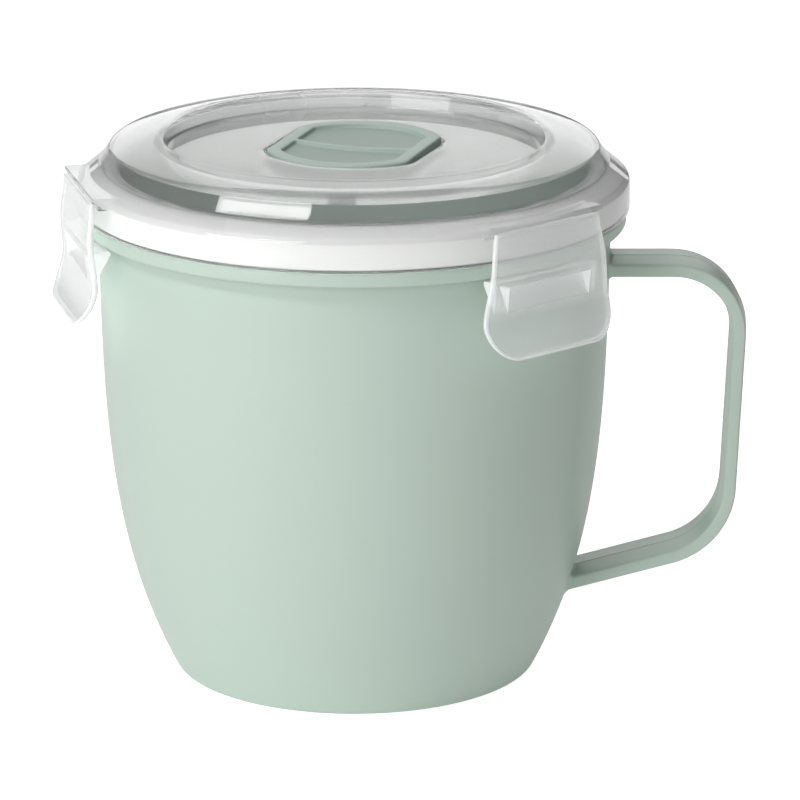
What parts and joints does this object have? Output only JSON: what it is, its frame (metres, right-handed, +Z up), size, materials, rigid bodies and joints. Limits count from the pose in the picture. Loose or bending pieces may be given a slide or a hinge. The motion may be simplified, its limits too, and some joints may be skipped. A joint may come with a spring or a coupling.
{
  "type": "soup mug",
  "caption": "Tall round soup mug with a side handle, a clear lid held down by swing clips over a white sealing ring, and a hinged steam vent in the lid's sunken panel.",
  "frame": {"origin": "on the mug's axis, in the plane of the foot ring that it stands on", "axes": "+Z up along the mug's axis, +X from the axis towards the handle"},
  "size_m": [0.1623, 0.1345, 0.1279],
  "materials": {
    "mint_plastic": "smooth moulded plastic, satin gloss",
    "clear_plastic": "clear glossy moulded plastic",
    "clip_plastic": "milky natural plastic, satin",
    "vent_plastic": "satin moulded plastic",
    "white_silicone": "matte silicone"
  },
  "bodies": {
    "mug": {"mug_body": "mint_plastic"},
    "lid": {"lid_shell": "clear_plastic", "lid_gasket": "white_silicone"},
    "clip_front": {"clip_front": "clip_plastic"},
    "clip_left": {"clip_left": "clip_plastic"},
    "clip_back": {"clip_back": "clip_plastic"},
    "vent": {"vent_flap": "vent_plastic", "vent_plug": "white_silicone"}
  },
  "joints": [
    {"name": "lid_lift", "type": "slide", "parent": "mug", "child": "lid", "axis": [0, 0, 1], "range_m": [0, 0.09]},
    {"name": "clip_front_hinge", "type": "hinge", "parent": "lid", "child": "clip_front", "pos_m": [0.04349, -0.0483, 0.1182], "axis": [-0.7431, -0.6691, 0], "range_deg": [0, 120]},
    {"name": "clip_left_hinge", "type": "hinge", "parent": "lid", "child": "clip_left", "pos_m": [-0.06307, -0.01572, 0.1182], "axis": [-0.2419, 0.9703, 0], "range_deg": [0, 120]},
    {"name": "clip_back_hinge", "type": "hinge", "parent": "lid", "child": "clip_back", "pos_m": [0.019, 0.06216, 0.1182], "axis": [0.9563, -0.2924, 0], "range_deg": [0, 120]},
    {"name": "vent_hinge", "type": "hinge", "parent": "lid", "child": "vent", "pos_m": [0.00773, 0.02124, 0.12414], "axis": [-0.9397, 0.342, 0], "range_deg": [0, 100]}
  ]
}
